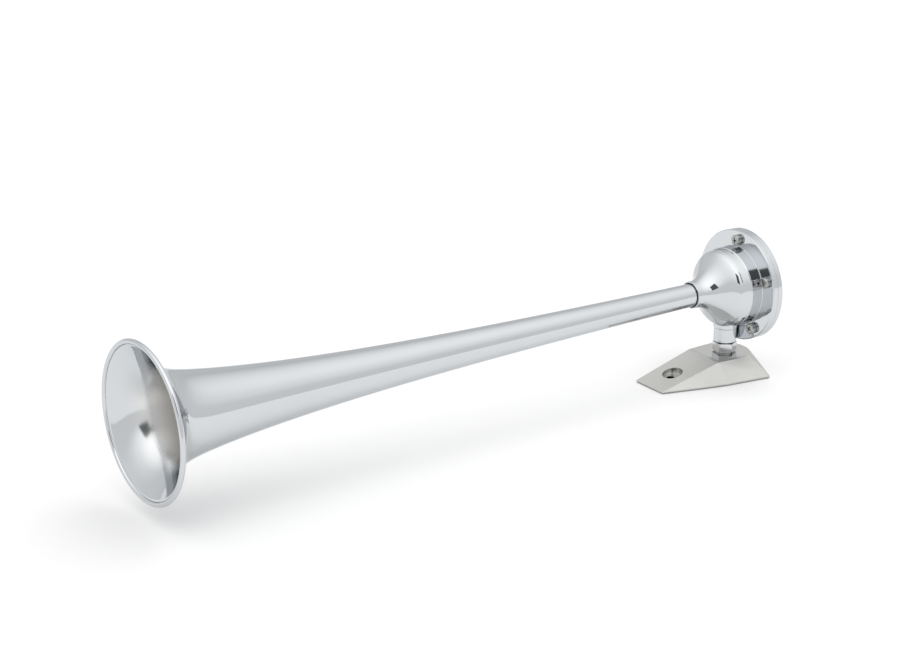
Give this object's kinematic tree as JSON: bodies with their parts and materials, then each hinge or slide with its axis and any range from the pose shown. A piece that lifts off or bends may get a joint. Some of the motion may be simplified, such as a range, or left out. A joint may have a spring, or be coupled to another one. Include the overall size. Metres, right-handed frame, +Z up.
{
  "type": "air horn",
  "caption": "Chrome air horn: a long flared trumpet on a round diaphragm driver, carried by a hollow stem on a wedge shaped base",
  "frame": {"origin": "On the underside of the mounting gasket, midway along the base casting, on the plane through the horn axis and the stem axis", "axes": "+Z up, away from the roof; the bell faces -Y and the back cover faces +Y; +X is the flank seen in the picture"},
  "size_m": [0.1296, 0.6057, 0.1424],
  "materials": {
    "chrome_plate": "mirror polished chrome plate",
    "satin_nickel": "satin nickel grey casting",
    "spring_steel": "plain spring steel",
    "brass": "turned brass",
    "rubber": "matte black rubber",
    "gasket_rubber": "matte grey rubber sheet",
    "gasket_fibre": "dry brown fibre sheet"
  },
  "bodies": {
    "base_body": {"base": "satin_nickel", "base_gasket": "gasket_rubber"},
    "horn_body": {"trumpet": "chrome_plate", "trumpet_seal": "rubber", "driver_housing": "chrome_plate", "nozzle": "brass", "front_gasket": "gasket_fibre", "rear_gasket": "gasket_fibre", "back_cover": "chrome_plate", "cover_screw_1": "chrome_plate", "cover_screw_2": "chrome_plate", "cover_screw_3": "chrome_plate", "cover_screw_4": "chrome_plate", "cover_screw_5": "chrome_plate", "cover_screw_washer_1": "spring_steel", "cover_screw_washer_2": "spring_steel", "cover_screw_washer_3": "spring_steel", "cover_screw_washer_4": "spring_steel", "cover_screw_washer_5": "spring_steel", "stem": "chrome_plate"},
    "diaphragm_body": {"diaphragm": "spring_steel"},
    "washer_body": {"lock_washer": "spring_steel"},
    "nut_body": {"lock_nut": "chrome_plate"}
  },
  "joints": [
    {"name": "horn_swivel", "type": "hinge", "parent": "base_body", "child": "horn_body", "pos_m": [0, 0.0282, 0.018], "axis": [0, 0, 1], "range_deg": [-180, 180]},
    {"name": "diaphragm_flex", "type": "slide", "parent": "horn_body", "child": "diaphragm_body", "axis": [0, 1, 0], "range_m": [0, 0.0003], "stiffness_N_per_m": 5000},
    {"name": "nut_rise", "type": "slide", "parent": "horn_body", "child": "washer_body", "axis": [0, 0, 1], "range_m": [0, 0.000704]},
    {"name": "nut_turn", "type": "hinge", "parent": "washer_body", "child": "nut_body", "pos_m": [0, 0.0282, 0.0225], "axis": [0, 0, 1], "range_deg": [0, 180]}
  ],
  "couplings": [
    {"joint": "nut_turn", "follows": "nut_rise", "rad_per_m": 4456.2}
  ]
}
